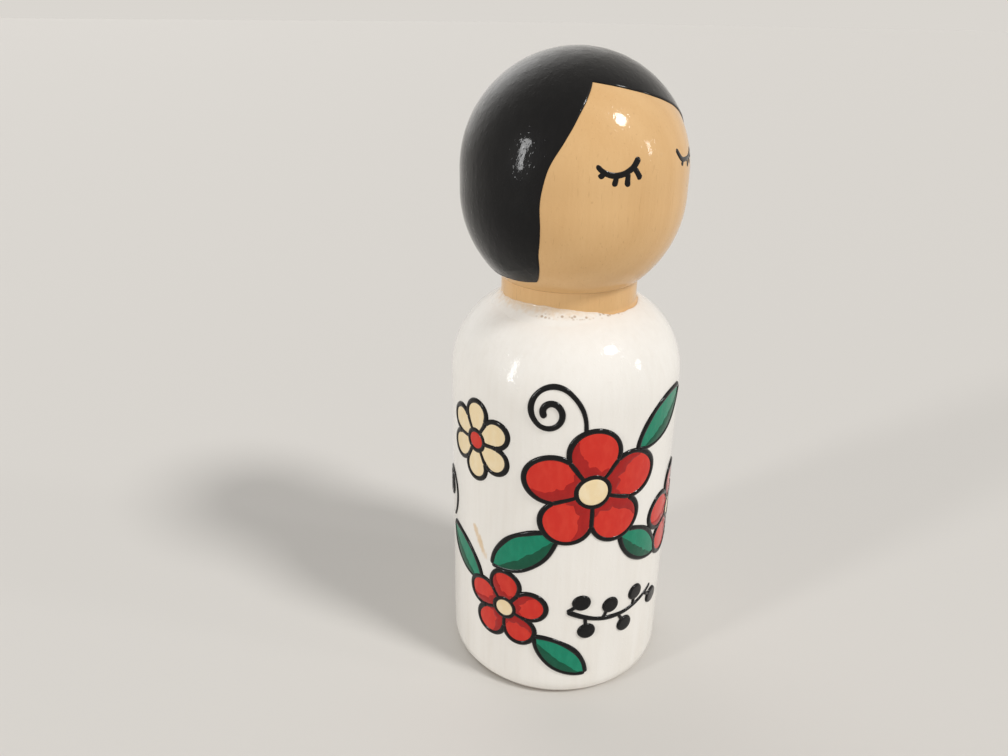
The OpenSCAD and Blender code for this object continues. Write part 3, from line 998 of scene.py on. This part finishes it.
def eye_paint(name, node, eye):
    """One closed eye."""
    shell = Shell()
    spot = carried(head, eye.turn, HEAD_Z + eye.height)
    inward = np.array([-copysign(1, eye.turn), 1])
    for path in (curve(eye.lid, STROKE_STEP), *eye.lashes):
        stroke(shell, spot, np.array(path) * inward, eye.width, LASH_RISE, 0, LASH_TAPER)
    shell.piece(name, BLACK, "black_paint", node)


# Ornament

PETAL_REACHES = np.linspace(0.05, 1, 100)

# Shade on petals, at angles about the petal's middle, and on leaves, short of both ends: how far it stays in
# from the line, how far it may reach, how it tapers, and how its edge wanders
PETAL_SHADE_ANGLES = np.radians(np.linspace(140, 310, 60))
PETAL_SHADE_MIDDLE = radians(225)
PETAL_SHADE_INSET = 0.06
PETAL_SHADE_REACH = 0.8
PETAL_SHADE_POWER = 0.8
PETAL_SHADE_SHAKE = 0.09
LEAF_SHADE_SCALE = 0.97
LEAF_SHADE_SKIP = 2
LEAF_SHADE_END = 0.04
LEAF_SHADE_POWER = 0.7
LEAF_SHADE_SHAKE = 0.1
SHADE_WAVES = 9
LEAF_STEPS = 96


def petal_meeting(flower):
    """How far from the flower's middle the lines round two neighbouring petals meet."""
    radius, stand = petal_sizes(flower)
    half = pi / flower.petals
    left = (radius - LINE_W / 2) ** 2 - (stand * sin(half)) ** 2
    return stand * cos(half) + sqrt(max(left, 0))


def petal_edge(flower):
    """Flat edge of the petal that points up, and its middle."""
    radius, stand = petal_sizes(flower)
    middle = np.array([0, stand])
    reaches = PETAL_REACHES * stand
    points = middle + reaches[:, None, None] * UNIT_RING
    away = norm(points, axis=-1)
    off = pi / flower.petals - np.abs(np.arctan2(points[..., 0], points[..., 1]))
    outside = (away * np.sin(off) < TUCK) | (away < core_radius(flower) + TUCK)
    past_line = norm(points - middle, axis=-1) > radius - LINE_W / 2 - TUCK
    outside |= past_line & (away > petal_meeting(flower) - TUCK)
    return middle + reaches[outside.argmax(0), None] * UNIT_RING, middle


def petal_shade(flower, edge, middle):
    """Edges of the darker crescent on the inner side of the petal that points up."""
    angles = PETAL_SHADE_ANGLES
    shown = np.stack([np.interp(angles, CIRCLE, places) for places in edge.T], 1)
    outer = shown + (middle - shown) * PETAL_SHADE_INSET
    radius, _ = petal_sizes(flower)
    swell = np.maximum(np.cos(angles - PETAL_SHADE_MIDDLE), 0) ** PETAL_SHADE_POWER
    depth = sqrt(2) * PETAL_SHADE_SHARE * radius * swell
    depth *= 1 + wobble(len(angles), PETAL_SHADE_SHAKE, SHADE_WAVES)
    way = middle - outer
    reach = norm(way, axis=1)
    return outer, outer + way * np.minimum(depth / reach, PETAL_SHADE_REACH)[:, None]


def petal_lines(flower):
    """Flat paths of the line over the petal that points up, and of the line between it and the next."""
    radius, stand = petal_sizes(flower)
    half = pi / flower.petals
    meet = petal_meeting(flower)
    swing = degrees(atan2(meet * sin(half), meet * cos(half) - stand))
    over = arc_path((0, stand), radius - LINE_W / 2, 90 - swing, 90 + swing)
    way = np.array([-sin(half), cos(half)])
    return over, np.array([way * (meet + LINE_W / 3), way * (core_radius(flower) - LINE_W / 3)])


def flower_paint():
    """Petals, shading, middles and lines of every flower."""
    red, cream, shade, lines = Shell(), Shell(), Shell(), Shell()
    for flower in FLOWERS:
        spot = on_dress(flower)
        petals, middles = (red, cream) if flower.red else (cream, red)
        edge, middle = petal_edge(flower)
        over, between = petal_lines(flower)
        for n in range(flower.petals):
            angle = n * 360 / flower.petals
            fill(petals, spot, rotated(middle, angle), rotated(edge, angle))
            if flower.red:
                outer, inner = petal_shade(flower, edge, middle)
                ribbon(shade, spot, rotated(outer, angle), rotated(inner, angle), SHADE_RISE, 2 * COAT)
            stroke(lines, spot, rotated(over, angle))
            stroke(lines, spot, rotated(between, angle), taper=PETAL_LINE_TAPER)
        radius = core_radius(flower)
        core = radius * UNIT_RING
        fill(middles, spot, (0, 0), core * (1 - TUCK / radius), CORE_RISE)
        stroke(lines, spot, np.concatenate([core, core[:1]]), closed=True)
    red.piece("red_petal_paint", RED, "red_paint", "red_petals")
    cream.piece("cream_petal_paint", CREAM, "cream_paint", "cream_petals")
    shade.piece("petal_shade_paint", DARK_RED, "dark_red_paint", "petal_shading")
    lines.piece("flower_line_paint", BLACK, "black_paint", "flower_outlines")


def leaf_sides(leaf):
    """Flat paths of a leaf's upper and lower line, both from its foot to its tip."""
    radius, off = leaf_arc(leaf)
    radius -= LINE_W / 2
    swing = degrees(acos(off / radius))
    upper = arc_path((0, -off), radius, 90 + swing, 90 - swing)
    return upper, upper * (1, -1)


def leaf_paint():
    """Faces, shading and lines of every leaf, tucked under the flowers."""
    faces, shade, lines = Shell(), Shell(), Shell()
    for leaf in LEAVES:
        spot = on_dress(leaf)
        upper, lower = [rotated(side, leaf.lean) for side in leaf_sides(leaf)]
        loop = np.concatenate([upper, lower[-2:0:-1]])
        places = np.linspace(0, lengths_of(loop)[-1], LEAF_STEPS, endpoint=False)
        edge = along(np.concatenate([loop, loop[:1]]), places)
        centre = np.zeros(2)
        fill(faces, spot, centre, trimmed(spot, centre, edge, under_flowers))
        for side in (upper, lower):
            for run in free_runs(spot, side, under_flowers):
                stroke(lines, spot, run)
        across = rotated((0, 1), leaf.lean)
        inner = lower[LEAF_SHADE_SKIP:-LEAF_SHADE_SKIP] * LEAF_SHADE_SCALE
        for run in free_runs(spot, inner, under_flowers):
            ends = np.linspace(LEAF_SHADE_END, pi - LEAF_SHADE_END, len(run))
            depth = LEAF_W * leaf.size * LEAF_SHADE_SHARE * np.sin(ends) ** LEAF_SHADE_POWER
            depth *= 1 + wobble(len(run), LEAF_SHADE_SHAKE, SHADE_WAVES)
            ribbon(shade, spot, run, run + depth[:, None] * across, SHADE_RISE, 2 * COAT)
    faces.piece("leaf_paint", GREEN, "green_paint", "green_leaves")
    shade.piece("leaf_shade_paint", DARK_GREEN, "dark_green_paint", "leaf_shading")
    lines.piece("leaf_line_paint", BLACK, "black_paint", "leaf_outlines")


def sprig_paint():
    """A stem with berries on both sides."""
    shell = Shell()
    spot = carried(body, SPRIG_TURN, SPRIG_Z)
    centre = np.array([0, SPRIG_R])
    stem = arc_path(centre, SPRIG_R, -90 - SPRIG_SPAN / 2, -90 + SPRIG_SPAN / 2)
    for run in free_runs(spot, stem, under_ornament):
        stroke(shell, spot, run, taper=SPRIG_TAPER)
    for n, turn in enumerate(BERRY_TURNS):
        stand = BERRY_STAND if n % 2 == 0 else -BERRY_STAND
        middle = centre + rotated((0, stand - SPRIG_R), turn)
        edge = middle + BERRY_R * UNIT_RING[::2]
        edge = trimmed(spot, middle, edge, under_ornament)
        fill(shell, spot, middle, edge, BERRY_RISE)
        stalk = np.array([centre + rotated((0, -SPRIG_R), turn - BERRY_STALK_LEAN), middle])
        stroke(shell, spot, stalk, BERRY_STALK_W)
    shell.piece("sprig_paint", BLACK, "black_paint", "berry_sprig")


def curl_paint():
    """Tendrils on bent stalks, which curl in through three shrinking half turns."""
    shell = Shell()
    for curl in CURLS:
        spot = on_dress(curl)
        first = CURL_R * curl.size
        second = first * CURL_SHRINK
        third = second * CURL_SHRINK
        stalk = first * CURL_STALK_SHARE
        path = np.concatenate([
            arc_path((first - stalk, 0), stalk, -CURL_STALK_SPAN, 0),
            arc_path((0, 0), first, 0, 180)[1:],
            arc_path((second - first, 0), second, 180, 360)[1:],
            arc_path((2 * second - first - third, 0), third, 0, 180)[1:],
        ])
        for run in free_runs(spot, rotated(path, curl.lean), under_ornament):
            stroke(shell, spot, run, taper=CURL_TAPER)
    shell.piece("curl_paint", BLACK, "black_paint", "tendril_curls")


body_wood()
head_wood()
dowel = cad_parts["neck_dowel"]
dowel.data.materials.clear()
dowel.data.materials.append(DOWEL)
dress_paint()
collar_bubbles()
hair_paint()
eye_paint("right_eye_paint", "right_eyelashes", RIGHT_EYE)
eye_paint("left_eye_paint", "left_eyelashes", LEFT_EYE)
flower_paint()
leaf_paint()
sprig_paint()
curl_paint()


# Floor, light and camera

FLOOR_HALF = 12000
FLOOR_ROUGHNESS = 0.85
FLOOR = colour(209, 205, 199)
BACKDROP = colour(218, 214, 208)
AMBIENT = 0.5


def stage_floor():
    """A plain pale floor."""
    half = FLOOR_HALF * MM
    corners = [(-half, -half, 0), (half, -half, 0), (half, half, 0), (-half, half, 0)]
    mesh = bpy.data.meshes.new("floor")
    mesh.from_pydata(corners, [], [(0, 1, 2, 3)])
    material = bpy.data.materials.new("floor")
    material.use_nodes = True
    shader = material.node_tree.nodes["Principled BSDF"]
    shader.inputs["Base Color"].default_value = FLOOR
    shader.inputs["Roughness"].default_value = FLOOR_ROUGHNESS
    mesh.materials.append(material)
    floor = placed("floor", mesh)


def studio_world():
    """Even light from all round, before a pale backdrop."""
    world = bpy.data.worlds.new("studio")
    bpy.context.scene.world = world
    world.use_nodes = True
    nodes, link = world.node_tree.nodes, world.node_tree.links.new
    around = nodes["Background"]
    around.inputs["Color"].default_value = (1, 1, 1, 1)
    around.inputs["Strength"].default_value = AMBIENT
    backdrop = nodes.new("ShaderNodeBackground")
    backdrop.inputs["Color"].default_value = BACKDROP
    rays = nodes.new("ShaderNodeLightPath")
    seen = rays.outputs["Is Camera Ray"]
    for name in ("Is Glossy Ray", "Is Transmission Ray"):
        either = nodes.new("ShaderNodeMath")
        either.operation = "MAXIMUM"
        link(seen, either.inputs[0])
        link(rays.outputs[name], either.inputs[1])
        seen = either.outputs[0]
    mix = nodes.new("ShaderNodeMixShader")
    for number, socket in enumerate((seen, around.outputs[0], backdrop.outputs[0])):
        link(socket, mix.inputs[number])
    link(mix.outputs[0], nodes["World Output"].inputs["Surface"])


# Lamps, all far off: the turn and the angle above the floor at which each hangs, how many degrees wide it
# looks, and its light on white that faces it. The back light has layers, so that it fades towards its rim.
LAMP_AIM = np.array([0, 0, SHOULDER_Z])
LAMP_AWAY = 450
BACK_LAYERS = ((72, 0.07), (56, 0.05), (40, 0.035), (24, 0.02))
SIDE_RISES = (6, 12.5, 19, 25.5)
WINDOW_RISES = (15, 20)
Lamp = namedtuple("Lamp", "name turn rise angle light")
LAMPS = [
    Lamp("key", 17, 47, 11, 0.5),
    *[Lamp(f"back_{n}", 165, 30, *layer) for n, layer in enumerate(BACK_LAYERS)],
    *[Lamp(f"side_pane_{n}", -99, rise, 7.5, 0.075) for n, rise in enumerate(SIDE_RISES)],
    *[Lamp(f"window_pane_{n}", 35, rise, 5.5, 0.035) for n, rise in enumerate(WINDOW_RISES)],
]


def far_lamp(lamp):
    """Hangs a round lamp, aimed at the doll."""
    sun = bpy.data.lights.new(lamp.name, "SUN")
    sun.angle = radians(lamp.angle)
    sun.energy = lamp.light * pi
    holder = placed(lamp.name, sun)
    rise = radians(lamp.rise)
    way = compass(lamp.turn)[1] * cos(rise) + UP * sin(rise)
    holder.location = Vector((LAMP_AIM + way * LAMP_AWAY) * MM)
    holder.rotation_euler = Vector(way).to_track_quat("Z", "Y").to_euler()


# Camera: where the photograph was taken from, as seen from the doll's axis
CAMERA_TURN = -46.1
CAMERA_AWAY = 110.1
CAMERA_Z = 93.2
CAMERA_YAW = -4.6
CAMERA_PITCH = 23.8
CAMERA_ROLL = -0.78
FOCAL_PX = 820
FRAME_PX = 1008
SENSOR = 36
CLIP_START = 5


def photo_camera():
    """The photograph's camera."""
    camera = bpy.data.cameras.new("camera")
    camera.sensor_fit = "HORIZONTAL"
    camera.sensor_width = SENSOR
    camera.lens = SENSOR * FOCAL_PX / FRAME_PX
    camera.clip_start = CLIP_START * MM
    holder = placed("camera", camera)
    holder.matrix_world = (
        Matrix.Rotation(radians(CAMERA_TURN), 4, "Z")
        @ Matrix.Translation(Vector((0, -CAMERA_AWAY, CAMERA_Z)) * MM)
        @ Matrix.Rotation(radians(-CAMERA_YAW), 4, "Z")
        @ Matrix.Rotation(radians(90 - CAMERA_PITCH), 4, "X")
        @ Matrix.Rotation(radians(-CAMERA_ROLL), 4, "Z")
    )
    bpy.context.scene.camera = holder


stage_floor()
studio_world()
for lamp in LAMPS:
    far_lamp(lamp)
photo_camera()
bpy.context.scene.view_settings.view_transform = "Standard"
